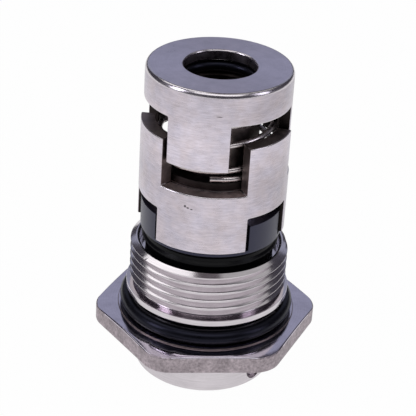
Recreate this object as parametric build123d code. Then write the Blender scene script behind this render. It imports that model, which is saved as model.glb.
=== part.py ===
from build123d import *
import math
import os

# Cartridge mechanical seal for a 16 mm shaft.
# Millimetres, +Z up, Z = 0 on the free face of the clamping collar.
# Azimuth 0 points to -Y and grows towards +X.

# ---------------------------------------------------------------- shaft side
shaft_diameter = 16.0
sleeve_wall = 1.5
running_clearance = 0.3
flat_clearance = 0.2
fit_clearance = 0.02
edge_break = 0.5
fine_break = 0.25

# ---------------------------------------------------------------- collar
collar_diameter = 32.0
collar_height = 9.6
collar_gap = 0.5

# ---------------------------------------------------------------- set screws
screw_count = 3
screw_azimuth = 50.0
screw_diameter = 5.0
screw_height = 3.5
screw_recess = 1.4
screw_retreat = 0.6
socket_across_flats = 2.5
socket_depth = 2.2

# ---------------------------------------------------------------- gland
hex_across_flats = 46.0
hex_thickness = 4.4
hex_corner_radius = 6.0
hex_azimuth = 6.3
hex_face_diameter = 45.2
hex_chamfer_slope = 0.36
face_step_diameter = 41.0
face_step_height = 0.3
gland_ring_wire = 3.5
gland_ring_diameter = 40.0
gland_ring_room = 1.3
land_diameter = 37.4
land_height = 1.4
run_out_height = 0.8
thread_diameter = 36.0
thread_pitch = 2.0
thread_length = 10.4
thread_lead_in = 1.2
thread_start = 144.0
mouth_wall = 2.0
mouth_depth = 3.2
mouth_break = 0.45

# ---------------------------------------------------------------- seat
seat_width = 4.2
seat_height = 10.5
seat_floor = 2.1
seat_ring_wire = 2.0
seat_ring_rise = 3.0

# ---------------------------------------------------------------- seal ring
nose_width = 3.6
nose_height = 2.5
ring_skirt_height = 3.4
ring_lip_diameter = 31.0
ring_lip_overhang = 0.9
ring_lip_height = 0.5
ring_lip_slope = 0.5
ring_waist_depth = 0.95
ring_waist_height = 0.8
ring_taper_height = 1.0
ring_diameter = 31.9
ring_band_height = 0.8
lug_height = 6.0
lug_start = 32.7
lug_width = 37.9
seal_ring_wire = 2.0
seal_ring_room = 0.6

# ---------------------------------------------------------------- torque ring
torque_diameter = 33.3
torque_wall = 3.3
torque_shoulder_height = 8.1
crown_height = 11.1
slot_start = -42.6
slot_width = 69.4
notch_start = 28.8
notch_width = 45.7
notch_rise = 2.4

# ---------------------------------------------------------------- spring
washer_thickness = 1.75
spring_wire = 1.3
spring_height = 14.65
spring_start = -3.6
spring_slack = 0.25

# ---------------------------------------------------------------- drive ring
drive_diameter = 32.3
drive_flange_height = 7.5
tongue_length = 10.7
tongue_start = -40.0
tongue_width = 51.2
shaft_ring_wire = 2.65
shaft_ring_room = 0.85
end_flange_height = 1.5
end_flange_overlap = 0.7

# ---------------------------------------------------------------- derived radii
shaft_r = shaft_diameter / 2
sleeve_r = shaft_r + sleeve_wall
passage_r = sleeve_r + running_clearance
collar_r = collar_diameter / 2
thread_r = thread_diameter / 2
thread_depth = 0.6134 * thread_pitch
mouth_r = thread_r - mouth_wall
seat_r = passage_r + seat_width
seat_pocket_r = seat_r + running_clearance
nose_r = passage_r + nose_width
ring_lip_r = min(ring_lip_diameter / 2, mouth_r - running_clearance)
ring_skirt_r = ring_lip_r - ring_lip_overhang
torque_r = torque_diameter / 2
torque_inner_r = torque_r - torque_wall
hub_r = torque_inner_r - running_clearance
ring_r = ring_diameter / 2
waist_r = ring_r - ring_waist_depth
spring_outer_r = torque_inner_r - spring_slack
spring_mean_r = spring_outer_r - spring_wire / 2
drive_r = drive_diameter / 2
tongue_inner_r = torque_inner_r + running_clearance
shaft_pocket_r = shaft_r + shaft_ring_wire + 2 * fit_clearance
end_flange_r = shaft_pocket_r + end_flange_overlap

# ---------------------------------------------------------------- derived levels
hex_bottom = collar_height + collar_gap
hex_top = hex_bottom + hex_thickness
step_top = hex_top + face_step_height
land_bottom = step_top + gland_ring_wire + gland_ring_room
land_top = land_bottom + land_height
thread_bottom = land_top + run_out_height
mouth_top = thread_bottom + thread_length
seat_bottom = hex_top + seat_floor
seat_top = seat_bottom + seat_height
skirt_bottom = seat_top + nose_height
mouth_floor = min(mouth_top - mouth_depth, skirt_bottom - flat_clearance)
skirt_top = skirt_bottom + ring_skirt_height
lip_top = skirt_top + ring_lip_height
waist_bottom = lip_top + ring_lip_slope
waist_top = waist_bottom + ring_waist_height
band_bottom = waist_top + ring_taper_height
band_top = band_bottom + ring_band_height
lug_top = band_top + lug_height
torque_bottom = band_top + flat_clearance
shoulder_top = lug_top + torque_shoulder_height
crown_top = shoulder_top + crown_height
washer_top = shoulder_top + washer_thickness
flange_bottom = washer_top + spring_height
tongue_bottom = flange_bottom - tongue_length
shaft_pocket_bottom = flange_bottom + end_flange_height
shaft_pocket_top = shaft_pocket_bottom + shaft_ring_wire + shaft_ring_room
drive_top = flange_bottom + drive_flange_height

# ---------------------------------------------------------------- shared values
full_turn = 360.0
symmetry = 3
symmetry_step = full_turn / symmetry
azimuth_zero = -90.0
seam_turn = 137.0
cut_margin = 1.0


def turned(points):
    """A solid of revolution about Z from (radius, height) points."""
    section = make_face(Polyline([(r, 0, z) for r, z in points], close=True))
    return revolve(section, axis=Axis.Z)


def turned_arc(points, start, width):
    """The same, over an arc that starts at an azimuth and is width degrees wide."""
    section = make_face(Polyline([(r, 0, z) for r, z in points], close=True))
    arc = revolve(section, axis=Axis.Z, revolution_arc=width)
    return Rot(0, 0, start + azimuth_zero) * arc


def box_profile(inner, outer, low, high):
    """The four corners of a rectangular ring section."""
    return [(inner, low), (outer, low), (outer, high), (inner, high)]


def o_ring(mean_radius, wire, height):
    """A round-section elastomer ring."""
    return Pos(0, 0, height) * Torus(mean_radius, wire / 2)


def make_shaft_sleeve():
    """The sleeve that clamps on the shaft, with collar and end flange in one."""
    body = turned([
        (shaft_r, fine_break),
        (shaft_r + fine_break, 0),
        (collar_r - edge_break, 0),
        (collar_r, edge_break),
        (collar_r, collar_height - edge_break),
        (collar_r - edge_break, collar_height),
        (sleeve_r, collar_height),
        (sleeve_r, flange_bottom),
        (end_flange_r - fit_clearance, flange_bottom),
        (end_flange_r - fit_clearance, shaft_pocket_bottom),
        (shaft_r, shaft_pocket_bottom),
    ])
    hole = Cylinder(
        screw_diameter / 2 + fit_clearance,
        collar_r + cut_margin,
        rotation=(0, 90, 0),
        align=(Align.CENTER, Align.CENTER, Align.MIN),
    )
    for index in range(screw_count):
        turn = screw_azimuth + index * full_turn / screw_count + azimuth_zero
        body -= Rot(0, 0, turn) * (Pos(0, 0, screw_height) * hole)
    return body


def make_set_screw(index):
    """A socket set screw lying radially in the collar, with its tip short of the bore."""
    length = collar_r - screw_recess - shaft_r - screw_retreat
    radius = screw_diameter / 2
    tip = radius / 2
    blank = revolve(
        make_face(Polyline([
            (0, 0),
            (0, tip),
            (tip, radius),
            (length - fine_break, radius),
            (length, radius - fine_break),
            (length, 0),
        ], close=True)),
        axis=Axis.X,
    )
    socket_sketch = RegularPolygon(socket_across_flats / 2, 6, major_radius=False)
    socket = extrude(Plane.YZ.offset(length - socket_depth) * socket_sketch, socket_depth + cut_margin)
    screw = Pos(shaft_r + screw_retreat, 0, screw_height) * (blank - socket)
    turn = screw_azimuth + index * full_turn / screw_count + azimuth_zero
    return Rot(0, 0, turn) * screw


def make_thread_groove():
    """The helical groove between the turns of the outside thread."""
    half_root = thread_pitch / 16
    half_mouth = thread_pitch / 2 - half_root / 2
    overshoot = 0.2 * thread_pitch
    start = land_top + thread_pitch / 2
    end = mouth_top + thread_pitch / 2
    path = Helix(
        pitch=thread_pitch,
        height=end - start,
        radius=thread_r,
        center=(0, 0, start),
    )
    section = make_face(Polyline([
        (overshoot, -half_mouth),
        (overshoot, half_mouth),
        (-thread_depth, half_root),
        (-thread_depth, -half_root),
    ], close=True))
    plane = Plane(origin=path @ 0, x_dir=(1, 0, 0), z_dir=path % 0)
    return sweep(plane * section, path=path, is_frenet=True)


def make_gland_body():
    """The hexagon-headed holder with its outside thread and the seat pocket."""
    hexagon = RegularPolygon(hex_across_flats / 2, 6, major_radius=False)
    hexagon = fillet(hexagon.vertices(), hex_corner_radius)
    head = extrude(Pos(0, 0, hex_bottom) * hexagon, hex_thickness)
    face_r = hex_face_diameter / 2
    corner_r = hex_across_flats
    drop = (corner_r - face_r) * hex_chamfer_slope
    head &= turned([
        (0, hex_bottom - drop),
        (corner_r, hex_bottom - drop),
        (corner_r, hex_top - drop),
        (face_r, hex_top),
        (0, hex_top),
    ])
    head = Rot(0, 0, hex_azimuth) * head
    groove_r = gland_ring_diameter / 2 - gland_ring_wire
    neck = turned([
        (passage_r, hex_top - cut_margin),
        (face_step_diameter / 2, hex_top - cut_margin),
        (face_step_diameter / 2, step_top),
        (groove_r, step_top),
        (groove_r, land_bottom),
        (land_diameter / 2, land_bottom),
        (land_diameter / 2, land_top),
        (thread_r - thread_depth, land_top),
        (thread_r - thread_depth, thread_bottom),
        (thread_r, thread_bottom),
        (thread_r, mouth_top - thread_lead_in * 0.6),
        (thread_r - thread_lead_in, mouth_top),
        (passage_r, mouth_top),
    ])
    cavity = turned([
        (0, hex_bottom - cut_margin),
        (passage_r, hex_bottom - cut_margin),
        (passage_r, seat_bottom),
        (seat_pocket_r, seat_bottom),
        (seat_pocket_r, mouth_floor),
        (mouth_r, mouth_floor),
        (mouth_r, mouth_top - mouth_break),
        (mouth_r + mouth_break, mouth_top),
        (mouth_r + mouth_break, mouth_top + cut_margin),
        (0, mouth_top + cut_margin),
    ])
    # the seam of the neck is turned away from where the thread starts
    neck = Rot(0, 0, seam_turn) * neck - make_thread_groove()
    return head + Rot(0, 0, thread_start) * neck - cavity


def make_gland_o_ring():
    """The large ring that seals the gland against the housing face."""
    mean = gland_ring_diameter / 2 - gland_ring_wire / 2 + fit_clearance
    return o_ring(mean, gland_ring_wire, step_top + gland_ring_wire / 2)


def make_stationary_seat():
    """The stationary face ring, with an outer groove for its own O-ring."""
    groove_r = seat_pocket_r - seat_ring_wire - fit_clearance
    groove_low = seat_bottom + seat_ring_rise
    groove_high = groove_low + seat_ring_wire + 2 * fit_clearance
    return turned([
        (passage_r + running_clearance, seat_bottom),
        (seat_r, seat_bottom),
        (seat_r, groove_low),
        (groove_r - fit_clearance, groove_low),
        (groove_r - fit_clearance, groove_high),
        (seat_r, groove_high),
        (seat_r, seat_top - fine_break),
        (seat_r - fine_break, seat_top),
        (passage_r + running_clearance, seat_top),
    ])


def make_seat_o_ring():
    """The ring around the stationary seat."""
    mean = seat_pocket_r - fit_clearance - seat_ring_wire / 2
    height = seat_bottom + seat_ring_rise + seat_ring_wire / 2 + fit_clearance
    return o_ring(mean, seat_ring_wire, height)


def make_rotating_seal_ring():
    """The rotating face ring with three drive lugs standing in the torque ring."""
    pocket_r = sleeve_r + seal_ring_wire + 3 * fit_clearance
    pocket_floor = lug_top - seal_ring_wire - seal_ring_room
    body = turned([
        (passage_r, seat_top),
        (nose_r - fine_break, seat_top),
        (nose_r, seat_top + fine_break),
        (nose_r, skirt_bottom),
        (ring_skirt_r - edge_break, skirt_bottom),
        (ring_skirt_r, skirt_bottom + edge_break),
        (ring_skirt_r, skirt_top),
        (ring_lip_r, skirt_top),
        (ring_lip_r, lip_top),
        (waist_r, waist_bottom),
        (waist_r, waist_top),
        (ring_r, band_bottom),
        (ring_r, lug_top - edge_break),
        (ring_r - edge_break, lug_top),
        (pocket_r, lug_top),
        (pocket_r, pocket_floor),
        (passage_r, pocket_floor),
    ])
    outside = ring_r + cut_margin
    between_lugs = box_profile(hub_r, outside, band_top, lug_top + cut_margin)
    for index in range(symmetry):
        start = lug_start + lug_width + index * symmetry_step
        body -= turned_arc(between_lugs, start, symmetry_step - lug_width)
    return body


def make_seal_o_ring():
    """The ring that seals the rotating face ring on the sleeve and slides with it."""
    mean = sleeve_r + 2 * fit_clearance + seal_ring_wire / 2
    height = lug_top - (seal_ring_wire + seal_ring_room) / 2
    return o_ring(mean, seal_ring_wire, height)


def make_torque_ring():
    """The slotted ring that passes the drive on to the rotating face ring."""
    body = turned([
        (passage_r, lug_top),
        (torque_inner_r, lug_top),
        (torque_inner_r, torque_bottom),
        (torque_r - fine_break, torque_bottom),
        (torque_r, torque_bottom + fine_break),
        (torque_r, crown_top - fine_break),
        (torque_r - fine_break, crown_top),
        (torque_inner_r, crown_top),
        (torque_inner_r, shoulder_top),
        (passage_r, shoulder_top),
    ])
    outside = torque_r + cut_margin
    slot = box_profile(torque_inner_r - fine_break, outside, shoulder_top, crown_top + cut_margin)
    notch = box_profile(torque_inner_r, outside, torque_bottom - cut_margin, lug_top + notch_rise)
    for index in range(symmetry):
        body -= turned_arc(slot, slot_start + index * symmetry_step, slot_width)
        body -= turned_arc(notch, notch_start + index * symmetry_step, notch_width)
    return body


def make_thrust_washer():
    """The loose washer that carries the lower end of the spring."""
    return turned(box_profile(
        passage_r,
        torque_inner_r - running_clearance,
        shoulder_top,
        washer_top,
    ))


def make_spring():
    """The single coil spring, wound right-handed with both ends closed."""
    travel = spring_height - spring_wire
    turns_and_rise = [
        (0.0, 0.0),
        (0.35, 0.012),
        (0.7, 0.062),
        (1.0, 0.142),
        (1.35, 0.262),
        (1.7, 0.42),
        (2.05, 0.6),
        (2.4, 0.77),
        (2.75, 0.89),
        (3.1, 0.955),
        (3.45, 0.988),
        (3.8, 1.0),
    ]
    steps_per_turn = 16
    last_turn = turns_and_rise[-1][0]
    steps = round(last_turn * steps_per_turn)
    points = []
    for step in range(steps + 1):
        turn = last_turn * step / steps
        below = max(i for i, item in enumerate(turns_and_rise[:-1]) if item[0] <= turn)
        turn_a, rise_a = turns_and_rise[below]
        turn_b, rise_b = turns_and_rise[below + 1]
        rise = rise_a + (rise_b - rise_a) * (turn - turn_a) / (turn_b - turn_a)
        angle = math.radians(spring_start + azimuth_zero + full_turn * turn)
        points.append((
            spring_mean_r * math.cos(angle),
            spring_mean_r * math.sin(angle),
            washer_top + spring_wire / 2 + travel * rise,
        ))
    path = Spline(points)
    section = Plane(origin=path @ 0, z_dir=path % 0) * Circle(spring_wire / 2)
    return sweep(section, path=path)


def make_drive_ring():
    """The end ring with three tongues that reach down into the torque ring."""
    body = turned([
        (end_flange_r, flange_bottom),
        (tongue_inner_r, flange_bottom),
        (tongue_inner_r, tongue_bottom),
        (drive_r - fine_break, tongue_bottom),
        (drive_r, tongue_bottom + fine_break),
        (drive_r, drive_top - edge_break),
        (drive_r - edge_break, drive_top),
        (shaft_r + edge_break, drive_top),
        (shaft_r, drive_top - edge_break),
        (shaft_r, shaft_pocket_top),
        (shaft_pocket_r, shaft_pocket_top),
        (shaft_pocket_r, shaft_pocket_bottom),
        (end_flange_r, shaft_pocket_bottom),
    ])
    inside = tongue_inner_r - fine_break
    outside = drive_r + cut_margin
    between_tongues = box_profile(inside, outside, tongue_bottom - cut_margin, flange_bottom)
    for index in range(symmetry):
        start = tongue_start + tongue_width + index * symmetry_step
        body -= turned_arc(between_tongues, start, symmetry_step - tongue_width)
    return body


def make_shaft_o_ring():
    """The ring that seals the drive ring and sleeve on the shaft."""
    mean = shaft_r + fit_clearance + shaft_ring_wire / 2
    return o_ring(mean, shaft_ring_wire, (shaft_pocket_bottom + shaft_pocket_top) / 2)


def main():
    """Build every piece and write one STEP file for each."""
    os.makedirs("parts", exist_ok=True)
    pieces = {
        "shaft_sleeve": make_shaft_sleeve(),
        "gland_body": make_gland_body(),
        "gland_o_ring": make_gland_o_ring(),
        "stationary_seat": make_stationary_seat(),
        "seat_o_ring": make_seat_o_ring(),
        "rotating_seal_ring": make_rotating_seal_ring(),
        "seal_o_ring": make_seal_o_ring(),
        "torque_ring": make_torque_ring(),
        "thrust_washer": make_thrust_washer(),
        "spring": make_spring(),
        "drive_ring": make_drive_ring(),
        "shaft_o_ring": make_shaft_o_ring(),
    }
    for index in range(screw_count):
        pieces[f"set_screw_{index + 1}"] = make_set_screw(index)
    for name, shape in pieces.items():
        export_step(shape, f"parts/{name}.step")


main()
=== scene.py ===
"""Cartridge mechanical seal: turned rings, threaded gland, spring, O-rings and studio."""
import math

import bmesh
import bpy
from mathutils import Matrix, Vector


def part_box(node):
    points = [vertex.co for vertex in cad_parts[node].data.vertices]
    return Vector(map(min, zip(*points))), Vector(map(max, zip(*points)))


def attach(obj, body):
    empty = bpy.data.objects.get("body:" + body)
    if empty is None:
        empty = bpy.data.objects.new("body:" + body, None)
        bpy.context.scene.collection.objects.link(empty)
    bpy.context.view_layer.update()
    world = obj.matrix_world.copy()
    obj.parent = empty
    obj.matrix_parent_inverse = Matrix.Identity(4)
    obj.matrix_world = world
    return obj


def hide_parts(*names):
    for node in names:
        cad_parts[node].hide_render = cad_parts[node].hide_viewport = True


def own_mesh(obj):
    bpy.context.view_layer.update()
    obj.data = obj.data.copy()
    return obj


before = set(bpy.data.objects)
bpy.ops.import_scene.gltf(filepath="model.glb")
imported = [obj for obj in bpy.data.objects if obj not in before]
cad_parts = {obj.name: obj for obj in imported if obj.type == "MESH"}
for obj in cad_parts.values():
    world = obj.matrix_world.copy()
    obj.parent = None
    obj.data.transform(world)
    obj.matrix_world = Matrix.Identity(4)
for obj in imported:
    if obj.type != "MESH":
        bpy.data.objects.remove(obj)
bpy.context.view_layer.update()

bl_info = {
    "name": "Cartridge mechanical seal",
    "version": (1, 0, 0),
    "blender": (4, 5, 0),
    "location": "3D View > Sidebar > Seal",
    "description": "Builds a cartridge shaft seal over its CAD frame",
    "category": "Add Mesh",
}

MM = 0.001
SEGMENTS = 180
SYMMETRY = 3
THIRD = 360.0 / SYMMETRY

# the set screws, which the collar is drilled for
SCREW_RADIUS = 2.5 * MM
SCREW_LEVEL = 3.5 * MM
SCREW_AZIMUTH = 50.0


# ------------------------------------------------------------------ colours
def linear(code):
    """An sRGB hex value as linear red, green and blue."""
    parts = [int(code[i:i + 2], 16) / 255 for i in (0, 2, 4)]
    return tuple(p / 12.92 if p <= 0.04045 else ((p + 0.055) / 1.055) ** 2.4 for p in parts)


def colour(name, code, description):
    """A colour property with an sRGB hex default."""
    return bpy.props.FloatVectorProperty(
        name=name, description=description, subtype="COLOR", size=3,
        min=0.0, max=1.0, default=linear(code),
    )


def length(name, millimetres, description):
    """A length property with its default in millimetres."""
    return bpy.props.FloatProperty(
        name=name, description=description, default=millimetres * MM,
        min=0.0, unit="LENGTH", precision=5,
    )


def top_of(node):
    """The highest level of a CAD node, in metres."""
    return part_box(node)[1].z


def bottom_of(node):
    """The lowest level of a CAD node, in metres."""
    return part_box(node)[0].z


def radius_of(node):
    """Half the width of a round CAD node, in metres."""
    low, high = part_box(node)
    return (high.x - low.x) / 2


class SealSizes(bpy.types.PropertyGroup):
    """Sizes of the seal that a user may change."""

    bore_radius: length("Bore radius", 8.0, "Radius of the shaft bore")
    sleeve_radius: length("Sleeve radius", 9.5, "Outside radius of the sleeve")
    passage_radius: length("Passage radius", 9.8, "Radius of the rings around the sleeve")
    ring_wall: length("Ring wall", 3.3, "Wall of the slotted torque ring")
    edge_round: length("Edge rounding", 0.3, "Tumbled rounding of the turned edges")
    rim_round: length("Rim rounding", 0.9, "Rounding of the drive ring's outer rim")
    hexagon: length("Across flats", 46.0, "Hexagon of the gland, across flats")
    hexagon_round: length("Corner rounding", 6.0, "Rounding of the hexagon's corners")
    thread_radius: length("Thread radius", 18.0, "Major radius of the outside thread")
    thread_pitch: length("Thread pitch", 2.0, "Pitch of the outside thread")
    thread_depth: length("Thread depth", 1.227, "Depth of the outside thread")
    wire: length("Spring wire", 1.3, "Diameter of the spring wire")


class SealColours(bpy.types.PropertyGroup):
    """Colours of the seal that a user may change."""

    turned_steel: colour("Turned steel", "d9d2de", "Fine-turned stainless steel")
    warm_steel: colour("Warm steel", "dbd0d6", "Faint straw and rose tints on the turned steel")
    cast_steel: colour("Cast steel", "b3a8ad", "Cast and blasted stainless steel")
    spring_steel: colour("Spring steel", "dcd4d4", "Drawn spring wire")
    # painted shade: this dark brown stands for the shade in the slots, bores and hollows
    painted_shade_brown: colour("Darkened steel", "978a88", "Steel painted dark as shade inside the slots and bores")
    bright_steel: colour("Bright steel", "dad4d8", "Polished stainless steel")
    black_ring: colour("Black ring", "201f29", "Ground silicon carbide face ring")
    rubber: colour("Rubber", "0a0a0d", "Moulded elastomer")
    sheen: colour("Dark sheen", "c6c8f2", "Tint of the gloss on the black parts")


class StageSettings(bpy.types.PropertyGroup):
    """Light and camera values that a user may change."""

    lens: bpy.props.FloatProperty(
        name="Lens", description="Focal length of the camera", default=124.32, unit="CAMERA")
    distance: length("Distance", 324.95, "Camera distance from its aim point")
    elevation: bpy.props.FloatProperty(
        name="Elevation", description="Camera angle above the horizon",
        default=math.radians(28.53), subtype="ANGLE")
    roll: bpy.props.FloatProperty(
        name="Roll", description="Camera roll about its line of sight",
        default=math.radians(3.55), subtype="ANGLE")
    aim: bpy.props.FloatVectorProperty(
        name="Aim", description="Point that the camera looks at", subtype="TRANSLATION",
        size=3, default=(-0.00076, 0.0, 0.03929))
    key: bpy.props.FloatProperty(
        name="Key light", description="Power of the key light", default=1.5, min=0.0)
    paper: colour("Paper", "ffffff", "Floor and backdrop paper")
    room: colour("Room", "46444c", "Dim room round the table")


# ------------------------------------------------------------------ modelling helpers
def deselect():
    """Leave edit mode and select nothing."""
    if bpy.context.object and bpy.context.object.mode != "OBJECT":
        bpy.ops.object.mode_set(mode="OBJECT")
    bpy.ops.object.select_all(action="DESELECT")


def activate(obj):
    """Make one object the only selected and the active one."""
    deselect()
    obj.select_set(True)
    bpy.context.view_layer.objects.active = obj


def edit(obj):
    """Open an object in edit mode with nothing selected."""
    activate(obj)
    bpy.ops.object.mode_set(mode="EDIT")
    bpy.ops.mesh.select_all(action="DESELECT")


def azimuth(point):
    """Azimuth in degrees, 0 towards -Y and growing towards +X."""
    return math.degrees(math.atan2(point.x, -point.y)) % 360.0


def outward(angle):
    """The level direction away from the axis at an azimuth in degrees."""
    return Vector((math.sin(math.radians(angle)), -math.cos(math.radians(angle)), 0))


def within(angle, start, width):
    """Whether an azimuth lies on the arc that starts at start, in any of the thirds."""
    return (angle - start) % THIRD < width


def edges_of(start, width):
    """The azimuths where an arc starts and ends, in each of the thirds."""
    return [start + THIRD * index + turn for index in range(SYMMETRY) for turn in (0.0, width)]


def choose(obj, kind, test):
    """Select the vertices, edges or faces of the edited mesh that pass a test."""
    bpy.ops.mesh.select_mode(type=kind)
    mesh = bmesh.from_edit_mesh(obj.data)
    items = {"VERT": mesh.verts, "EDGE": mesh.edges, "FACE": mesh.faces}[kind]
    for item in items:
        item.select_set(bool(test(item)))
    bmesh.update_edit_mesh(obj.data)


def snap_columns(obj, marks):
    """Turn the nearest vertex column of a fresh circle to each marked azimuth."""
    mesh = bmesh.from_edit_mesh(obj.data)
    free = list(mesh.verts)
    for angle in marks:
        nearest = min(free, key=lambda v: abs((azimuth(v.co) - angle + 180) % 360 - 180))
        free.remove(nearest)
        nearest.co = outward(angle) * nearest.co.to_2d().length + Vector((0, 0, nearest.co.z))
    bmesh.update_edit_mesh(obj.data)


def turn_outward():
    """Point all faces of the edited mesh outward, and leave edit mode."""
    bpy.ops.mesh.select_all(action="SELECT")
    bpy.ops.mesh.normals_make_consistent(inside=False)
    bpy.ops.object.mode_set(mode="OBJECT")


def turn_profile(name, profile, marks=(), closed=True):
    """A turned shape: a circle that is extruded and scaled from point to point."""
    deselect()
    (radius, level), rest = profile[0], profile[1:]
    bpy.ops.mesh.primitive_circle_add(vertices=SEGMENTS, radius=radius, fill_type="NOTHING")
    obj = bpy.context.object
    obj.name = obj.data.name = name
    bpy.ops.object.mode_set(mode="EDIT")
    bpy.ops.mesh.select_all(action="SELECT")
    snap_columns(obj, marks)
    bpy.ops.transform.translate(value=(0, 0, level))
    for next_radius, next_level in rest:
        bpy.ops.mesh.extrude_edges_move(TRANSFORM_OT_translate={"value": (0, 0, next_level - level)})
        ratio = next_radius / radius
        bpy.ops.transform.resize(value=(ratio, ratio, 1), center_override=(0, 0, 0))
        radius, level = next_radius, next_level
    if closed:
        choose(obj, "EDGE", lambda e: e.is_boundary)
        bpy.ops.mesh.bridge_edge_loops()
    turn_outward()
    return obj


def extrude_faces(obj, distance, test):
    """Pull the faces that pass a test along Z."""
    edit(obj)
    choose(obj, "FACE", test)
    bpy.ops.mesh.extrude_region_move(TRANSFORM_OT_translate={"value": (0, 0, distance)})
    bpy.ops.object.mode_set(mode="OBJECT")


def apply_modifier(obj, kind, **settings):
    """Add a modifier, set it and apply it."""
    activate(obj)
    modifier = obj.modifiers.new(kind.title(), kind)
    for key, value in settings.items():
        setattr(modifier, key, value)
    bpy.ops.object.modifier_apply(modifier=modifier.name)


def round_edges(obj, width, segments=3, angle=38.0):
    """Round every edge sharper than an angle, then shade by angle."""
    apply_modifier(
        obj, "BEVEL", width=width, segments=segments, limit_method="ANGLE",
        angle_limit=math.radians(angle), use_clamp_overlap=True, miter_outer="MITER_ARC",
    )
    smooth(obj)


def smooth(obj, angle=32.0):
    """Smooth shading up to an angle between faces."""
    activate(obj)
    bpy.ops.object.shade_smooth_by_angle(angle=math.radians(angle))


def join(parts, name):
    """Join objects into the first one."""
    deselect()
    for part in parts:
        part.select_set(True)
    bpy.context.view_layer.objects.active = parts[0]
    bpy.ops.object.join()
    parts[0].name = parts[0].data.name = name
    return parts[0]


def cut(obj, tool, operation="DIFFERENCE"):
    """Combine an object with a tool object, which is then removed."""
    apply_modifier(obj, "BOOLEAN", object=tool, operation=operation, solver="EXACT")
    bpy.data.objects.remove(tool)


def arc_points(centre_r, centre_z, radius, start, end, steps, rise=1.0):
    """Points of a rounding in a turned profile, from one angle to another. A rise
    over 1 makes it taller than it is wide."""
    points = []
    for step in range(steps + 1):
        angle = math.radians(start + (end - start) * step / steps)
        points.append((centre_r + radius * math.cos(angle), centre_z + rise * radius * math.sin(angle)))
    return points


def finish_piece(obj, body, replaced, material=None):
    """Put a piece on its CAD body in place of a node, and paint it if it has one finish."""
    if material:
        paint(obj, [material], lambda polygon: 0)
    # flat faces keep their own direction, and only the roundings shade softly
    apply_modifier(obj, "WEIGHTED_NORMAL", keep_sharp=True)
    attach(obj, body)
    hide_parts(replaced)


# ------------------------------------------------------------------ materials
def node(tree, kind, settings=None, inputs=None):
    """Add a shader node, set its properties, and set or link its inputs."""
    made = tree.nodes.new("ShaderNode" + kind)
    for key, value in (settings or {}).items():
        setattr(made, key, value)
    for key, source in (inputs or {}).items():
        if isinstance(source, bpy.types.NodeSocket):
            tree.links.new(source, made.inputs[key])
        else:
            made.inputs[key].default_value = source
    return made


# nearly all of a noise lies between these two values
NOISE_RANGE = (0.3, 0.7)


def grain(tree, place, size_mm, detail=3.0, rough=0.55, along=(1.0, 1.0, 1.0)):
    """A pattern with cells about size_mm wide, drawn out where along is small."""
    drawn = node(tree, "Mapping", {}, {"Vector": place, "Scale": along}).outputs["Vector"]
    return node(tree, "TexNoise", {}, {
        "Vector": drawn, "Scale": 1.0 / (size_mm * MM), "Detail": detail, "Roughness": rough,
    }).outputs["Fac"]


def tone(tree, *bands):
    """The product of some patterns, each given with the tones that its low and its high
    value stand for, and with those two values where they aren't the usual ones of a noise."""
    product = 1.0
    for band in bands:
        pattern, tone_low, tone_high, low, high = (*band, *NOISE_RANGE)[:5]
        spread = node(tree, "MapRange", {}, {
            "Value": pattern, "From Min": low, "From Max": high, "To Min": tone_low, "To Max": tone_high,
        }).outputs["Result"]
        product = node(tree, "Math", {"operation": "MULTIPLY"}, {0: product, 1: spread}).outputs[0]
    return product


def largest(tree, values):
    """The largest of some values."""
    best = 0.0
    for value in values:
        best = node(tree, "Math", {"operation": "MAXIMUM"}, {0: best, 1: value}).outputs[0]
    return best


def mark(tree, place, centre, size):
    """A mask that is 1 inside a small oval at a place in mm, and fades at its edge."""
    for operation, values in (("SUBTRACT", centre), ("DIVIDE", size)):
        place = node(tree, "VectorMath", {"operation": operation}, {
            0: place, 1: [value * MM for value in values]}).outputs[0]
    reach = node(tree, "VectorMath", {"operation": "LENGTH"}, {0: place}).outputs["Value"]
    return tone(tree, (reach, 1.0, 0.0, 0.6, 1.1))


def surface(tree, base, shades, roughness, height, relief, metallic=1.0, **others):
    """Set the shader: a base colour toned by some bands, the roughness from one band, and
    a relief from a height pattern, given as a depth in mm and a strength."""
    shader = tree.nodes["Principled BSDF"]
    depth_mm, strength = relief
    toned = node(tree, "VectorMath", {"operation": "SCALE"}, {0: base, "Scale": tone(tree, *shades)})
    raised = node(tree, "Bump", {}, {"Height": height, "Distance": depth_mm * MM, "Strength": strength})
    tree.links.new(toned.outputs[0], shader.inputs["Base Color"])
    tree.links.new(tone(tree, roughness), shader.inputs["Roughness"])
    tree.links.new(raised.outputs["Normal"], shader.inputs["Normal"])
    shader.inputs["Metallic"].default_value = metallic
    for key, value in others.items():
        shader.inputs[key.replace("_", " ")].default_value = value


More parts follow.
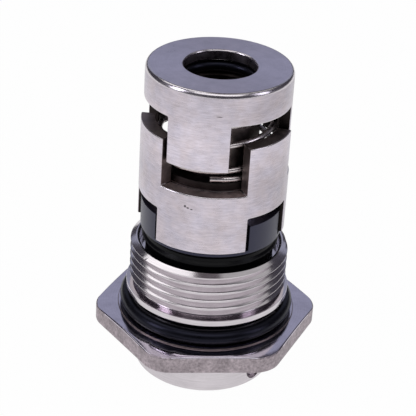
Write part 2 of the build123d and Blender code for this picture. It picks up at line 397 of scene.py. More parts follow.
def turned_steel(tree, place, colours):
    """Austenitic stainless steel, fine turned and tumbled: a light grey between
    rose and lilac, with short rings of tool grain, stains and a few dark pits."""
    # tool grain is about 0.05 mm wide, and is drawn at 0.26 mm so that it shows
    lines = grain(tree, place, 0.26, 3.0, 0.6, (0.12, 0.12, 1.0))
    stains = grain(tree, place, 2.0, 4.0, 0.6)
    clouds = grain(tree, place, 11.0, 2.0)
    tints = tone(tree, (grain(tree, place, 3.5, 2.0), 0.0, 1.0))
    split = node(tree, "SeparateXYZ", {}, {0: place}).outputs
    aside = node(tree, "Math", {"operation": "ABSOLUTE"}, {0: split["X"]}).outputs[0]
    marks = largest(tree, [mark(tree, place, centre, size) for centre, size in HANDLING_MARKS])
    # inputs 6 and 7 and output 2 of a Mix node are the colour ones
    steel = node(tree, "Mix", {"data_type": "RGBA"}, {
        "Factor": tints, 6: (*colours.turned_steel, 1.0), 7: (*colours.warm_steel, 1.0)}).outputs[2]
    shades = (
        (lines, 0.84, 1.09),
        (stains, 0.89, 1.07),
        (clouds, 0.88, 1.05, 0.35, 0.65),
        # painted light makes the tongues brightest, and the flange above them is darker
        (split["Z"], 1.0, 1.10, 52 * MM, 57 * MM),
        (split["Z"], 1.0, 0.85, 65 * MM, 70 * MM),
        # painted shade darkens the sides, the one at +X above all
        (aside, 1.0, 0.88, 6 * MM, 15 * MM),
        (split["X"], 1.0, 0.90, 5 * MM, 10 * MM),
        (marks, 1.0, 0.16, 0.0, 1.0),
    )
    surface(tree, steel, shades, (stains, 0.24, 0.34), lines, (0.004, 0.5))


def polished_steel(tree, place, colours, rough=0.19):
    """Stainless steel turned bright and polished: smooth, with a trace of grain."""
    # polishing leaves lines of about 0.02 mm, drawn at 0.2 mm so that they show
    lines = grain(tree, place, 0.2, 2.0, along=(0.03, 0.03, 1.0))
    clouds = grain(tree, place, 5.0, 2.0)
    surface(tree, colours.bright_steel, [(lines, 0.90, 1.04), (clouds, 0.93, 1.03)],
            (clouds, rough, rough + 0.06), lines, (0.001, 0.1))


def threaded_steel(tree, place, colours):
    """The same steel on the thread, where the tool left a brighter cut."""
    polished_steel(tree, place, colours, 0.12)


def shade_painted_steel(tree, place, colours, light=1.0):
    """Milled stainless steel inside the slots, painted dark brown as painted shade."""
    # a 4 mm cutter leaves marks about 0.3 mm apart
    marks = grain(tree, place, 0.3, 2.0, along=(0.3, 0.3, 1.0))
    film = grain(tree, place, 2.0, 4.0, 0.6)
    surface(tree, colours.painted_shade_brown, [(marks, 0.9 * light, 1.06 * light), (film, 0.7, 1.1)],
            (film, 0.38, 0.54), marks, (0.006, 0.5))


def light_shade_steel(tree, place, colours):
    """The same milled steel on the slots' floors, with a lighter painted shade."""
    shade_painted_steel(tree, place, colours, 2.4)


def deep_shade_steel(tree, place, colours):
    """The same painted shade, nearly black, where the shade is deepest."""
    shade_painted_steel(tree, place, colours, 0.12)


def faced_steel(tree, place, colours, rough=0.30, drawn=0.6):
    """The turned steel on flat faces, with rings left by facing on the lathe."""
    flat = node(tree, "VectorMath", {"operation": "MULTIPLY"}, {0: place, 1: (1.0, 1.0, 0.0)})
    radius = node(tree, "VectorMath", {"operation": "LENGTH"}, {0: flat.outputs[0]}).outputs["Value"]
    across = node(tree, "CombineXYZ", {}, {"X": radius}).outputs[0]
    # a facing feed of about 0.1 mm, drawn at 0.3 mm so that it shows
    rings = grain(tree, across, 0.3, 2.0)
    patches = grain(tree, place, 3.2, 4.0, 0.6)
    # the rings of tool marks draw the gloss out across them
    surface(tree, colours.turned_steel, [(patches, 0.84, 1.07), (rings, 0.93, 1.04)],
            (patches, rough - 0.03, rough + 0.05), rings, (0.003, 0.4),
            Anisotropic=drawn, Anisotropic_Rotation=0.25)
    around = node(tree, "Tangent", {"direction_type": "RADIAL", "axis": "Z"}).outputs[0]
    tree.links.new(around, tree.nodes["Principled BSDF"].inputs["Tangent"])


def ground_steel(tree, place, colours):
    """The same steel on the gland's sealing face, faced finer, so that it mirrors
    the O-ring that lies on it."""
    faced_steel(tree, place, colours, 0.10, 0.0)


def cast_steel(tree, place, colours):
    """Investment-cast stainless steel, blasted: grainy, duller and browner,
    with crystal-like light and dark flecks."""
    # blasting grit leaves dents of 0.2 to 0.8 mm
    grit = grain(tree, place, 0.6, 4.0, 0.7)
    crystals = node(tree, "TexVoronoi", {}, {"Vector": place, "Scale": 1.0 / (0.9 * MM)})
    cells = crystals.outputs["Distance"]
    clouds = grain(tree, place, 4.0, 3.0)
    dents = node(tree, "Math", {"operation": "ADD"}, {0: grit, 1: cells}).outputs[0]
    shades = (
        (grit, 0.62, 1.18, 0.35, 0.65),
        (clouds, 0.82, 1.10, 0.35, 0.65),
        (cells, 0.88, 1.14, 0.1, 0.7),
    )
    surface(tree, colours.cast_steel, shades, (grit, 0.42, 0.60), dents, (0.05, 0.6))


def drawn_wire(tree, place, colours):
    """Drawn stainless spring wire: bright, with fine marks."""
    # die marks of about 0.02 mm, drawn at 0.2 mm so that they show
    marks = grain(tree, place, 0.2, 2.0, along=(0.1, 0.1, 1.0))
    surface(tree, colours.spring_steel, [(marks, 0.86, 1.05)],
            (marks, 0.22, 0.34), marks, (0.006, 0.4))


def silicon_carbide(tree, place, colours):
    """Sintered silicon carbide, ground: near-black with a satin, bluish sheen
    and very fine grain."""
    # grains of about 0.01 mm, drawn at 0.25 mm so that they show
    grains = grain(tree, place, 0.25, 3.0, 0.6)
    clouds = grain(tree, place, 3.0, 2.0)
    surface(tree, colours.black_ring, [(grains, 0.85, 1.12), (clouds, 0.88, 1.08)],
            (grains, 0.30, 0.40), grains, (0.004, 0.4), 0.0,
            IOR=1.68, Specular_Tint=(*colours.sheen, 1.0))


def shade_painted_carbide(tree, place, colours):
    """Silicon carbide under the lugs, painted matt black with little gloss as painted shade."""
    # pores of about 0.02 mm, drawn at 0.35 mm so that they show
    pores = grain(tree, place, 0.35, 3.0, 0.6)
    surface(tree, colours.rubber, [(pores, 0.7, 1.3)],
            (pores, 0.26, 0.36), pores, (0.004, 0.4), 0.0, Specular_IOR_Level=0.12)


def nitrile_rubber(tree, place, colours):
    """Moulded nitrile rubber: deep black, satin, with a faint bloom."""
    bloom = grain(tree, place, 1.8, 4.0, 0.6)
    # the mould's skin of about 0.05 mm, drawn at 0.3 mm so that it shows
    skin = grain(tree, place, 0.3, 2.0)
    surface(tree, colours.rubber, [(bloom, 0.7, 1.3)],
            (bloom, 0.26, 0.36), skin, (0.003, 0.3), 0.0,
            Specular_IOR_Level=0.28, Specular_Tint=(*colours.sheen, 1.0))


def carbon_graphite(tree, place, colours):
    """Resin-filled carbon graphite, lapped: matt black with a soft cast."""
    # grains of about 0.05 mm, drawn at 0.3 mm so that they show
    grains = grain(tree, place, 0.3, 3.0, 0.6)
    surface(tree, colours.black_ring, [(grains, 0.7, 1.1)],
            (grains, 0.45, 0.6), grains, (0.004, 0.4), 0.0)


# centre and half size, in mm, of a dent on the drive ring and three pits on the torque ring
HANDLING_MARKS = (
    ((0.5, -16.1, 69.5), (0.75, 0.5, 0.10)),
    ((-5.7, -15.7, 47.9), (0.30, 0.6, 0.34)),
    ((-5.1, -15.9, 47.6), (0.34, 0.6, 0.22)),
    ((-4.3, -16.1, 47.4), (0.32, 0.6, 0.15)),
)

MAKERS = {
    "Turned stainless steel": turned_steel,
    "Faced stainless steel": faced_steel,
    "Ground stainless steel": ground_steel,
    "Polished stainless steel": polished_steel,
    "Threaded stainless steel": threaded_steel,
    "Shade-painted stainless steel": shade_painted_steel,
    "Light-shade stainless steel": light_shade_steel,
    "Deep-shade stainless steel": deep_shade_steel,
    "Cast stainless steel": cast_steel,
    "Drawn spring wire": drawn_wire,
    "Ground silicon carbide": silicon_carbide,
    "Shade-painted silicon carbide": shade_painted_carbide,
    "Moulded nitrile rubber": nitrile_rubber,
    "Lapped carbon graphite": carbon_graphite,
}


def finish(name):
    """The material of that name, made at its first use from the piece's own coordinates."""
    if name not in bpy.data.materials:
        material = bpy.data.materials.new(name)
        material.use_nodes = True
        tree = material.node_tree
        place = node(tree, "TexCoord").outputs["Object"]
        MAKERS[name](tree, place, bpy.context.scene.seal_colours)
    return bpy.data.materials[name]


def paint(obj, names, choice):
    """Give a piece the named materials, and each of its faces the one of its choice."""
    obj.data.materials.clear()
    for name in names:
        obj.data.materials.append(finish(name))
    for polygon in obj.data.polygons:
        polygon.material_index = choice(polygon)


def facing(polygon):
    """How far a face looks outward: 1 away from the axis, -1 straight at it."""
    return polygon.normal.to_2d().dot(polygon.center.to_2d().normalized())


def turned_inward(polygon):
    """Whether a face looks at the axis or along the ring, as a slot's walls do."""
    return abs(polygon.normal.z) < 0.6 and facing(polygon) < 0.6


def paint_ring(obj, side, flat, inner, inside):
    """Paint side faces, faces square to the axis, and faces that pass the inside test,
    which get the deepest painted shade where they look at the axis. Rounded edges are polished."""
    def choice(polygon):
        slope = abs(polygon.normal.z)
        if inside(polygon):
            return 4 if facing(polygon) < -0.6 else 2
        if slope > 0.97:
            return 1
        return 3 if slope > 0.12 else 0

    paint(obj, (side, flat, inner, "Polished stainless steel", "Deep-shade stainless steel"), choice)


# ------------------------------------------------------------------ pieces
def whereabouts(face):
    """The level, radius and azimuth of the middle of a face in edit mode."""
    middle = face.calc_center_median()
    return middle.z, middle.to_2d().length, azimuth(middle)


class SEAL_OT_drive_ring(bpy.types.Operator):
    """Turn the drive ring and draw its three tongues down from the flange"""

    bl_idname = "seal.drive_ring"
    bl_label = "Drive ring"

    def execute(self, context):
        sizes = context.scene.seal_sizes
        outer = radius_of("drive_ring")
        top, tip = top_of("drive_ring"), bottom_of("drive_ring")
        under = 67.1 * MM
        groove_low, groove_high, groove = 68.6 * MM, 72.1 * MM, 10.69 * MM
        spigot, inner, facing_start = 11.37 * MM, 13.65 * MM, 11.5 * MM
        tongue, tongue_width = -40.0, 51.2
        rim, rim_rise = sizes.rim_round, 1.45
        bore, mouth = sizes.bore_radius, 0.45 * MM
        profile = [(spigot, under), (inner, under), (outer, under), (outer, (under + top) / 2)]
        profile += arc_points(outer - rim, top - rim_rise * rim, rim, 0, 90, 9, rim_rise)
        profile += [(facing_start, top)]
        profile += arc_points(bore + mouth, top - mouth, mouth, 90, 180, 4)
        profile += [(bore, groove_high), (groove, groove_high)]
        profile += [(groove, groove_low), (spigot, groove_low)]
        ring = turn_profile("DriveRing", profile, edges_of(tongue, tongue_width))

        def above_tongue(face):
            _, radius, angle = whereabouts(face)
            return face.normal.z < -0.9 and radius > inner and within(angle, tongue, tongue_width)

        extrude_faces(ring, tip - under, above_tongue)
        round_edges(ring, sizes.edge_round)
        # painted shade: faces inside the ring and under it, below the top 3 mm, are painted nearly black
        unshaded_top = top - 3 * MM
        paint_ring(
            ring, "Turned stainless steel", "Faced stainless steel", "Deep-shade stainless steel",
            lambda p: p.center.z < unshaded_top and (turned_inward(p) or p.normal.z < -0.9))
        finish_piece(ring, "sleeve", "drive_ring")
        return {"FINISHED"}


class SEAL_OT_torque_ring(bpy.types.Operator):
    """Cut the slots and notches in a tube, thicken it and add its shoulder"""

    bl_idname = "seal.torque_ring"
    bl_label = "Torque ring"

    def execute(self, context):
        sizes = context.scene.seal_sizes
        outer = radius_of("torque_ring")
        low, high = bottom_of("torque_ring"), top_of("torque_ring")
        floor, roof = 50.7 * MM, 45.0 * MM
        slot, slot_width = -42.6, 69.4
        notch, notch_width = 28.8, 45.7
        wall = turn_profile(
            "TorqueRing", [(outer, low), (outer, roof), (outer, floor), (outer, high)],
            edges_of(slot, slot_width) + edges_of(notch, notch_width), closed=False)

        def in_opening(face):
            level, _, angle = whereabouts(face)
            if level > floor:
                return within(angle, slot, slot_width)
            return level < roof and within(angle, notch, notch_width)

        edit(wall)
        choose(wall, "FACE", in_opening)
        bpy.ops.mesh.delete(type="FACE")
        bpy.ops.object.mode_set(mode="OBJECT")
        apply_modifier(wall, "SOLIDIFY", thickness=sizes.ring_wall, offset=-1.0, use_even_offset=True)
        round_edges(wall, sizes.edge_round)
        # the shoulder laps into the wall, and stays a hair under the slots' floors
        passage, lap = sizes.passage_radius, outer - sizes.ring_wall + 0.1 * MM
        under, over = 42.6 * MM, floor - 0.02 * MM
        shoulder = turn_profile(
            "Shoulder", [(passage, under), (lap, under), (lap, over), (passage, over)])
        round_edges(shoulder, 0.12 * MM, 2)
        ring = join([wall, shoulder], "TorqueRing")
        crown = high - 1 * MM

        # painted shade: slot walls, undersides and the crowns' tops are painted dark
        def shaded_place(polygon):
            tilt = polygon.normal.z
            return turned_inward(polygon) or tilt < -0.9 or (tilt > 0.9 and polygon.center.z > crown)

        # the slots' floors get the lighter painted shade, and faces that look at the axis the deepest
        paint_ring(ring, "Turned stainless steel", "Light-shade stainless steel", "Shade-painted stainless steel",
                   shaded_place)
        # the deepest painted shade goes on the walls in the notches, round the lugs
        deep_shade = ring.data.materials.find("Deep-shade stainless steel")
        for polygon in ring.data.polygons:
            if turned_inward(polygon) and polygon.center.z < roof:
                polygon.material_index = deep_shade
        finish_piece(ring, "driver", "torque_ring")
        return {"FINISHED"}


class SEAL_OT_face_ring(bpy.types.Operator):
    """Turn the rotating face ring and raise its three lugs"""

    bl_idname = "seal.face_ring"
    bl_label = "Rotating face ring"

    def execute(self, context):
        sizes = context.scene.seal_sizes
        base, top = bottom_of("rotating_seal_ring"), top_of("rotating_seal_ring")
        outer, passage = radius_of("rotating_seal_ring"), sizes.passage_radius
        nose, skirt, lip, waist = 13.4 * MM, 14.6 * MM, 15.5 * MM, 15.0 * MM
        nose_top, skirt_top, lip_top = 29.6 * MM, 33.0 * MM, 33.5 * MM
        waist_low, waist_high, band_low, band = 34.0 * MM, 34.8 * MM, 35.8 * MM, 36.6 * MM
        hub, pocket, pocket_floor = 13.05 * MM, 11.56 * MM, top - 2.6 * MM
        root, hair = hub + 0.1 * MM, 0.01 * MM
        lug, lug_width = 32.7, 37.9
        ring = turn_profile("RotatingFaceRing", [
            (passage, base), (nose, base), (nose, nose_top), (skirt, nose_top), (skirt, skirt_top),
            (lip, skirt_top), (lip, lip_top), (waist, waist_low), (waist, waist_high),
            (outer, band_low), (outer, band), (root, band), (hub, band), (hub, top),
            (pocket, top), (pocket, pocket_floor), (passage, pocket_floor)], edges_of(lug, lug_width))

        def under_lug(face):
            level, radius, angle = whereabouts(face)
            on_band = face.normal.z > 0.9 and abs(level - band) < hair and radius > root - hair
            return on_band and within(angle, lug, lug_width)

        extrude_faces(ring, top - band, under_lug)
        round_edges(ring, sizes.edge_round, 3, 30.0)
        # painted shade: everything below this level is painted near-black
        unshaded_from = 35.9 * MM
        paint(ring, ("Ground silicon carbide", "Shade-painted silicon carbide"),
              lambda p: int(p.center.z < unshaded_from))
        finish_piece(ring, "driver", "rotating_seal_ring")
        return {"FINISHED"}


class SEAL_OT_gland(bpy.types.Operator):
    """Model the hexagon head, the neck with its seat pocket and the outside thread"""

    bl_idname = "seal.gland"
    bl_label = "Gland"

    def thread(self, sizes, low, high):
        """A helical ridge, trimmed to the neck and its lead-in."""
        radius, pitch, depth = sizes.thread_radius, sizes.thread_pitch, sizes.thread_depth
        root, lap = radius - depth, 0.25 * MM
        crest_drop, lead, run_out, run_out_depth = 0.08 * MM, 1.2 * MM, 0.4 * MM, 0.5 * MM
        crest, flank = pitch * 0.07, pitch * 0.43
        deselect()
        bpy.ops.mesh.primitive_circle_add(vertices=8, radius=pitch / 2, rotation=(math.pi / 2, 0, 0))
        ridge = bpy.context.object
        bpy.ops.object.transform_apply(location=False, rotation=True, scale=False)
        section = [(root - lap, -flank), (root, -flank), (radius - crest_drop, -crest),
                   (radius, -crest * 0.4), (radius, crest * 0.4), (radius - crest_drop, crest),
                   (root, flank), (root - lap, flank)]
        for vertex, (r, z) in zip(ridge.data.vertices, section):
            vertex.co = (r, 0, z + low - 0.8 * pitch)
        apply_modifier(
            ridge, "SCREW", axis="Z", screw_offset=pitch, iterations=math.ceil((high - low) / pitch) + 2,
            steps=SEGMENTS, render_steps=SEGMENTS, use_normal_calculate=True)
        edit(ridge)
        choose(ridge, "EDGE", lambda e: e.is_boundary)
        bpy.ops.mesh.edge_face_add()
        turn_outward()
        inside = root - 0.2 * MM
        envelope = turn_profile("Envelope", [
            (inside, low), (radius - run_out_depth, low), (radius, low + run_out),
            (radius, high - lead * 0.6), (radius - lead, high), (inside, high)])
        cut(ridge, envelope, "INTERSECT")
        smooth(ridge, 28.0)
        return ridge

    def head(self, sizes, low, high):
        """The hexagon with rounded corners and a shallow corner chamfer."""
        half, half_side = sizes.hexagon / 2, math.radians(30)
        turn = math.radians(6.3) + half_side
        chamfer, chamfer_drop, beyond, below = 22.6 * MM, 1.35 * MM, 30 * MM, low - 1 * MM
        deselect()
        bpy.ops.mesh.primitive_cylinder_add(
            vertices=6, radius=half / math.cos(half_side), depth=high - low,
            location=(0, 0, (low + high) / 2), rotation=(0, 0, turn))
        head = bpy.context.object
        bpy.ops.object.transform_apply(location=True, rotation=True, scale=True)
        edit(head)
        choose(head, "EDGE", lambda e: abs(e.verts[0].co.z - e.verts[1].co.z) > (high - low) / 2)
        bpy.ops.mesh.bevel(
            offset=sizes.hexagon_round * math.tan(half_side), offset_type="OFFSET",
            segments=14, affect="EDGES")
        bpy.ops.object.mode_set(mode="OBJECT")
        cone = turn_profile("Cone", [
            (half * 0.4, below), (beyond, below), (beyond, high - chamfer_drop),
            (chamfer, high), (half * 0.4, high)])
        cut(head, cone, "INTERSECT")
        round_edges(head, 0.3 * MM, 3, 30.0)
        return head

    def execute(self, context):
        sizes = context.scene.seal_sizes
        low, high = bottom_of("gland_body"), top_of("gland_body")
        face, neck_low, crest_end = 14.5 * MM, low + 0.02 * MM, high - 0.03 * MM
        root, passage = sizes.thread_radius - sizes.thread_depth, sizes.passage_radius
        recess, step, step_low, step_top = 11 * MM, 20.5 * MM, face - 0.5 * MM, face + 0.3 * MM
        neck_r, land, land_low, land_top = 16.5 * MM, 18.7 * MM, 19.6 * MM, 21.0 * MM
        mouth, chamfer, shelf = 16.0 * MM, 0.45 * MM, 29.0 * MM
        pocket, pocket_floor = 14.3 * MM, 16.6 * MM
        rim = mouth + 0.6 * MM
        head = self.head(sizes, low, face)
        neck = turn_profile("Neck", [
            (passage, neck_low), (recess, neck_low), (recess, step_low), (step, step_low),
            (step, step_top), (neck_r, step_top), (neck_r, land_low), (land, land_low),
            (land, land_top), (root, land_top), (root, crest_end), (rim, high),
            (mouth + chamfer, high), (mouth, high - chamfer), (mouth, shelf), (pocket, shelf),
            (pocket, pocket_floor), (passage, pocket_floor)])
        round_edges(neck, 0.15 * MM, 2, 30.0)
        thread = self.thread(sizes, 21.8 * MM, high)
        gland = join([head, neck, thread], "GlandBody")

        # painted shade: the rounded edge of the step under the O-ring is painted dark over its highlight
        edge_from, edge_to, edge_low = step - 0.2 * MM, step + 0.1 * MM, face - 0.4 * MM
        ground_top = face + 1 * MM

        def choice(polygon):
            radius, level = polygon.center.to_2d().length, polygon.center.z
            if radius > edge_to and level < step_low:
                return 2
            if edge_from < radius < edge_to and level > edge_low and polygon.normal.z < 0.97:
                return 3
            return int(level < ground_top)

        paint(gland, ("Threaded stainless steel", "Ground stainless steel", "Cast stainless steel",
                      "Shade-painted stainless steel"), choice)
        finish_piece(gland, "holder", "gland_body")
        return {"FINISHED"}


class SEAL_OT_o_rings(bpy.types.Operator):
    """Mould the four O-rings, each with its fine flash line"""

    bl_idname = "seal.o_rings"
    bl_label = "O-rings"

    def o_ring(self, name, target, body):
        """One O-ring in the place of a CAD node."""
        low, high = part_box(target)
        wire = (high.z - low.z) / 2
        mean, section = radius_of(target) - wire, wire * 0.985
        deselect()
        bpy.ops.mesh.primitive_torus_add(
            major_segments=SEGMENTS, minor_segments=32, major_radius=mean, minor_radius=section,
            location=(0, 0, (low.z + high.z) / 2))
        ring = bpy.context.object
        ring.name = ring.data.name = name
        bpy.ops.object.transform_apply(location=True, rotation=True, scale=True)
        edit(ring)
        choose(ring, "VERT", lambda v: v.co.to_2d().length > mean + section - 0.001 * MM)
        ratio = (mean + wire * 0.999) / (mean + section)
        bpy.ops.transform.resize(value=(ratio, ratio, 1), center_override=(0, 0, 0))
        bpy.ops.object.mode_set(mode="OBJECT")
        smooth(ring, 60.0)
        finish_piece(ring, body, target, "Moulded nitrile rubber")

    def execute(self, context):
        self.o_ring("GlandORing", "gland_o_ring", "holder")
        self.o_ring("StationaryORing", "seat_o_ring", "holder")
        self.o_ring("FaceRingORing", "seal_o_ring", "driver")
        self.o_ring("ShaftORing", "shaft_o_ring", "sleeve")
        return {"FINISHED"}


class SEAL_OT_seat(bpy.types.Operator):
    """Turn the stationary seat with its O-ring groove"""

    bl_idname = "seal.seat"
    bl_label = "Stationary seat"

    def execute(self, context):
        low, high = bottom_of("stationary_seat"), top_of("stationary_seat")
        outer = radius_of("stationary_seat")
        inner, groove, groove_low, groove_high = 10.1 * MM, 12.24 * MM, 19.6 * MM, 21.64 * MM
        seat = turn_profile("StationaryFaceRing", [
            (inner, low), (outer, low), (outer, groove_low), (groove, groove_low),
            (groove, groove_high), (outer, groove_high), (outer, high), (inner, high)])
        round_edges(seat, 0.2 * MM)
        finish_piece(seat, "holder", "stationary_seat", "Lapped carbon graphite")
        return {"FINISHED"}


class SEAL_OT_washer(bpy.types.Operator):
    """Turn the thrust washer that carries the spring"""

    bl_idname = "seal.washer"
    bl_label = "Thrust washer"

    def execute(self, context):
        low, high = bottom_of("thrust_washer"), top_of("thrust_washer")
        outer, inner = radius_of("thrust_washer"), context.scene.seal_sizes.passage_radius
        washer = turn_profile("ThrustWasher", [(inner, low), (outer, low), (outer, high), (inner, high)])
        round_edges(washer, 0.2 * MM)
        # painted shade: the washer deep in the slots is painted nearly black
        finish_piece(washer, "thrust", "thrust_washer", "Deep-shade stainless steel")
        return {"FINISHED"}


class SEAL_OT_spring(bpy.types.Operator):
    """Wind the right-handed coil spring with its cut wire ends"""

    bl_idname = "seal.spring"
    bl_label = "Spring"

    # turns made, and the share of the height climbed by then: closer wound at the ends
    rise = (
        (0.0, 0.0), (0.35, 0.012), (0.7, 0.062), (1.0, 0.142), (1.35, 0.262), (1.7, 0.42),
        (2.05, 0.6), (2.4, 0.77), (2.75, 0.89), (3.1, 0.955), (3.45, 0.988), (3.8, 1.0),
    )

    def climbed(self, turn):
        """Share of the spring's height that the wire has climbed after some turns."""
        for (turn_a, rise_a), (turn_b, rise_b) in zip(self.rise, self.rise[1:]):
            if turn <= turn_b:
                return rise_a + (rise_b - rise_a) * (turn - turn_a) / (turn_b - turn_a)
        return 1.0

    def execute(self, context):
        wire = context.scene.seal_sizes.wire
        low, high = bottom_of("spring"), top_of("spring")
        mean, travel = 12.45 * MM, 5.0 * MM
        turns, per_turn, start = self.rise[-1][0], 16, -3.6
        steps = round(turns * per_turn)
        deselect()
        bpy.ops.curve.primitive_bezier_curve_add()
        curve = bpy.context.object
        curve.name = curve.data.name = "CoilSpring"
        spline = curve.data.splines[0]
        spline.bezier_points.add(steps - 1)
        for index, point in enumerate(spline.bezier_points):
            turn = turns * index / steps
            level = low + wire / 2 + (high - low - wire) * self.climbed(turn)
            point.co = outward(start + 360.0 * turn) * mean + Vector((0, 0, level))
            point.handle_left_type = point.handle_right_type = "AUTO"
        curve.data.resolution_u = 8
        curve.data.bevel_depth = wire / 2
        curve.data.bevel_resolution = 6
        curve.data.use_fill_caps = True
        curve.data.twist_mode = "Z_UP"
        activate(curve)
        bpy.ops.object.convert(target="MESH")
        coil = bpy.context.object
        edit(coil)
        bpy.ops.mesh.select_all(action="SELECT")
        bpy.ops.mesh.remove_doubles(threshold=1e-7)
        turn_outward()
        smooth(coil, 40.0)
        finish_piece(coil, "sleeve", "spring", "Drawn spring wire")
        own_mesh(coil)
        return {"FINISHED"}


class SEAL_OT_sleeve(bpy.types.Operator):
    """Turn the shaft sleeve and drill its collar for the set screws"""

    bl_idname = "seal.sleeve"
    bl_label = "Shaft sleeve"

    def execute(self, context):
        sizes = context.scene.seal_sizes
        bore, tube, collar = sizes.bore_radius, sizes.sleeve_radius, 16.0 * MM
        height, top = 9.6 * MM, top_of("shaft_sleeve")
        flange, flange_low = 11.34 * MM, 67.1 * MM
        lead, chamfer = 0.25 * MM, 0.5 * MM
        hole, hole_length, hole_middle = SCREW_RADIUS + 0.02 * MM, 12 * MM, 13 * MM
        tube_reach = collar - 1 * MM
        sleeve = turn_profile("ShaftSleeve", [
            (bore, lead), (bore + lead, 0), (collar - chamfer, 0), (collar, chamfer),
            (collar, height - chamfer), (collar - chamfer, height), (tube, height),
            (tube, flange_low), (flange, flange_low), (flange, top), (bore, top)])
        for index in range(SYMMETRY):
            direction = outward(SCREW_AZIMUTH + THIRD * index)
            deselect()
            bpy.ops.mesh.primitive_cylinder_add(
                vertices=48, radius=hole, depth=hole_length,
                location=direction * hole_middle + Vector((0, 0, SCREW_LEVEL)),
                rotation=direction.to_track_quat("Z", "Y").to_euler())
            cut(sleeve, bpy.context.object)
        round_edges(sleeve, 0.2 * MM, 3, 36.0)
        # painted shade: the tube above the collar, inside the rings, is painted dark, and the bore there
        # darker still
        paint_ring(
            sleeve, "Polished stainless steel", "Polished stainless steel", "Shade-painted stainless steel",
            lambda p: p.center.z > height and p.center.to_2d().length < tube_reach)
        finish_piece(sleeve, "sleeve", "shaft_sleeve")
        return {"FINISHED"}


class SEAL_OT_set_screws(bpy.types.Operator):
    """Model one socket set screw and copy it round the collar"""

    bl_idname = "seal.set_screws"
    bl_label = "Set screws"

    def execute(self, context):
        inner, outer = 8.6 * MM, 14.6 * MM
        long = outer - inner
        socket, socket_depth = 1.443 * MM, 2.2 * MM
        deselect()
        bpy.ops.mesh.primitive_cylinder_add(vertices=48, radius=SCREW_RADIUS, depth=long)
        first = bpy.context.object
        bpy.ops.mesh.primitive_cylinder_add(
            vertices=6, radius=socket, depth=2 * socket_depth, location=(0, 0, long / 2))
        cut(first, bpy.context.object)
        round_edges(first, 0.15 * MM, 2, 36.0)
        unplaced = first.data.copy()
        for index in range(SYMMETRY):
            screw = first
            if index:
                # a copy takes the first screw's object, with a fresh copy of the unplaced mesh
                screw = first.copy()
                screw.data = unplaced.copy()
                bpy.context.collection.objects.link(screw)
            screw.name = screw.data.name = f"SetScrew_{index + 1}"
            direction = outward(SCREW_AZIMUTH + THIRD * index)
            place = Matrix.Translation(direction * (inner + outer) / 2 + Vector((0, 0, SCREW_LEVEL)))
            screw.matrix_world = place @ direction.to_track_quat("Z", "Y").to_matrix().to_4x4()
            activate(screw)
            bpy.ops.object.transform_apply(location=True, rotation=True, scale=True)
            finish_piece(screw, f"screw_{index + 1}", f"set_screw_{index + 1}",
                         "Drawn spring wire")
        bpy.data.meshes.remove(unplaced)
        return {"FINISHED"}


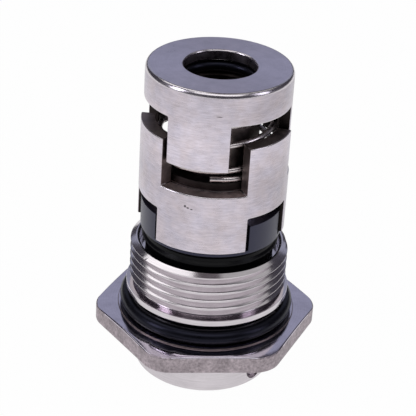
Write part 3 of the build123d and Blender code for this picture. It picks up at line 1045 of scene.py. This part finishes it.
# ------------------------------------------------------------------ stage
class SEAL_OT_stage(bpy.types.Operator):
    """Set up the paper floor, the soft lights, the surroundings and the camera"""

    bl_idname = "seal.stage"
    bl_label = "Stage"

    middle = Vector((0, 0, 0.04))

    def seen_by(self, tree, camera, mirror):
        """One share for what the camera sees, another for what mirrors and glass see,
        and none for light that falls."""
        rays = node(tree, "LightPath").outputs
        shares = (("Is Camera Ray", camera), ("Is Glossy Ray", mirror), ("Is Transmission Ray", mirror))
        return largest(tree, [tone(tree, (rays[ray], 0.0, share, 0.0, 1.0)) for ray, share in shares])

    def paper(self, settings):
        """White paper that camera and mirrors see as white, but keeps a soft shadow."""
        material = bpy.data.materials.new("White paper")
        material.use_nodes = True
        tree = material.node_tree
        shader = tree.nodes["Principled BSDF"]
        shader.inputs["Base Color"].default_value = (*settings.paper, 1.0)
        shader.inputs["Roughness"].default_value = 0.9
        shader.inputs["Specular IOR Level"].default_value = 0.0
        glow = node(tree, "Emission", {}, {"Strength": 1.0})
        # mirrors see more of the real, shaded paper than the camera does
        blend = node(tree, "MixShader", {}, {
            0: self.seen_by(tree, 0.98, 0.77), 1: shader.outputs[0], 2: glow.outputs[0]})
        tree.links.new(blend.outputs[0], tree.nodes["Material Output"].inputs["Surface"])
        return material

    def light_up(self, obj, name, tint, strength=1.0):
        """Give an object an even glow and hide it from the camera."""
        material = bpy.data.materials.new(name)
        material.use_nodes = True
        tree = material.node_tree
        glow = node(tree, "Emission", {}, {"Color": (*tint, 1.0), "Strength": strength})
        tree.links.new(glow.outputs[0], tree.nodes["Material Output"].inputs["Surface"])
        obj.data.materials.append(material)
        obj.visible_camera = False

    def card(self, name, code, strength, place, size):
        """A large reflector card that faces the seal and stays out of the picture."""
        deselect()
        bpy.ops.mesh.primitive_plane_add(size=1.0, location=place)
        card = bpy.context.object
        card.rotation_euler = (self.middle - Vector(place)).to_track_quat("Z", "Y").to_euler()
        card.scale = (*size, 1.0)
        card.name = card.data.name = name
        self.light_up(card, name, linear(code), strength)

    def room(self, settings):
        """A dim dome for the room round the table; the camera looks through it."""
        deselect()
        bpy.ops.mesh.primitive_uv_sphere_add(segments=48, ring_count=24, radius=1.6)
        room = bpy.context.object
        edit(room)
        choose(room, "VERT", lambda v: v.co.z < -0.01)
        bpy.ops.mesh.delete(type="VERT")
        bpy.ops.object.mode_set(mode="OBJECT")
        room.name = room.data.name = "Room"
        self.light_up(room, "Room wall", settings.room)

    def lamp(self, name, power, place, size, code):
        """A soft area lamp aimed at the middle of the seal."""
        data = bpy.data.lights.new(name, "AREA")
        data.energy, data.color = power, linear(code)
        data.shape, data.size, data.size_y = "RECTANGLE", *size
        lamp = bpy.data.objects.new(name, data)
        bpy.context.collection.objects.link(lamp)
        lamp.location = place
        lamp.rotation_euler = (self.middle - Vector(place)).to_track_quat("-Z", "Y").to_euler()

    def floor(self, settings):
        """The sheet of paper that the seal stands on."""
        deselect()
        bpy.ops.mesh.primitive_plane_add(size=6.0, location=(0, 0, -0.1 * MM))
        floor = bpy.context.object
        floor.name = floor.data.name = "Floor"
        floor.data.materials.append(self.paper(settings))

    def backdrop(self, scene):
        """A white world, dimmer as light than it is to the eye."""
        world = bpy.data.worlds.new("Studio")
        world.use_nodes = True
        scene.world = world
        tree = world.node_tree
        strength = tone(tree, (self.seen_by(tree, 1.0, 1.0), 0.55, 1.0, 0.0, 1.0))
        tree.nodes["Background"].inputs["Color"].default_value = (1, 1, 1, 1)
        tree.links.new(strength, tree.nodes["Background"].inputs["Strength"])

    def camera(self, scene, settings):
        """The camera, which looks down at the seal from the front."""
        camera = bpy.data.objects.new("Camera", bpy.data.cameras.new("Camera"))
        bpy.context.collection.objects.link(camera)
        camera.data.lens, camera.data.sensor_width = settings.lens, 36.0
        camera.data.clip_start = 0.01
        back = Vector((0, -math.cos(settings.elevation), math.sin(settings.elevation)))
        camera.location = Vector(settings.aim) + back * settings.distance
        turn = (-back).to_track_quat("-Z", "Y").to_matrix() @ Matrix.Rotation(settings.roll, 3, "Z")
        camera.rotation_euler = turn.to_euler()
        scene.camera = camera

    def execute(self, context):
        scene, settings = context.scene, context.scene.seal_stage
        self.floor(settings)
        self.backdrop(scene)
        self.room(settings)
        self.card("Back card", "a2a6b9", 1.0, (0.0, 1.0, 0.62), (1.7, 0.7))
        self.card("Ceiling card", "605a5e", 1.0, (0.0, 0.15, 1.25), (0.6, 0.8))
        self.card("Left card", "ffffff", 1.5, (-0.47, 0.2, 1.0), (0.42, 0.8))
        self.card("Right card", "ffffff", 0.55, (0.47, 0.2, 1.0), (0.42, 0.8))
        self.lamp("Key light", settings.key * 2.2, (0.0, -0.56, 0.93), (1.2, 0.6), "ffffff")
        self.lamp("Fill light", settings.key * 1.8, (-0.9, -0.4, 0.5), (0.3, 0.6), "f4f2ff")
        self.lamp("Side light", settings.key * 0.9, (0.9, -0.3, 0.5), (0.3, 0.6), "f4f2ff")
        self.camera(scene, settings)
        scene.view_settings.view_transform = "Standard"
        return {"FINISHED"}


class SEAL_PT_sidebar(bpy.types.Panel):
    """Lists the pieces of the seal and their sizes and colours"""

    bl_idname = "SEAL_PT_sidebar"
    bl_label = "Cartridge seal"
    bl_space_type = "VIEW_3D"
    bl_region_type = "UI"
    bl_category = "Seal"

    def draw(self, context):
        layout = self.layout
        for operator in OPERATORS:
            layout.operator(operator.bl_idname)
        for group in (context.scene.seal_sizes, context.scene.seal_colours, context.scene.seal_stage):
            for key in group.__annotations__:
                layout.prop(group, key)


GROUPS = {"seal_sizes": SealSizes, "seal_colours": SealColours, "seal_stage": StageSettings}
OPERATORS = (
    SEAL_OT_sleeve, SEAL_OT_set_screws, SEAL_OT_gland, SEAL_OT_seat, SEAL_OT_face_ring,
    SEAL_OT_torque_ring, SEAL_OT_washer, SEAL_OT_spring, SEAL_OT_drive_ring, SEAL_OT_o_rings,
    SEAL_OT_stage,
)


def register():
    """Register the classes and the settings on the scene."""
    for item in (*GROUPS.values(), *OPERATORS, SEAL_PT_sidebar):
        bpy.utils.register_class(item)
    for name, group in GROUPS.items():
        setattr(bpy.types.Scene, name, bpy.props.PointerProperty(type=group))


def unregister():
    """Remove the settings and the classes."""
    for name in GROUPS:
        delattr(bpy.types.Scene, name)
    for item in reversed((*GROUPS.values(), *OPERATORS, SEAL_PT_sidebar)):
        bpy.utils.unregister_class(item)


def main():
    """Build the seal and its stage."""
    register()
    bpy.ops.seal.sleeve()
    bpy.ops.seal.set_screws()
    bpy.ops.seal.gland()
    bpy.ops.seal.seat()
    bpy.ops.seal.face_ring()
    bpy.ops.seal.torque_ring()
    bpy.ops.seal.washer()
    bpy.ops.seal.spring()
    bpy.ops.seal.drive_ring()
    bpy.ops.seal.o_rings()
    bpy.ops.seal.stage()
    deselect()


if __name__ == "__main__":
    main()
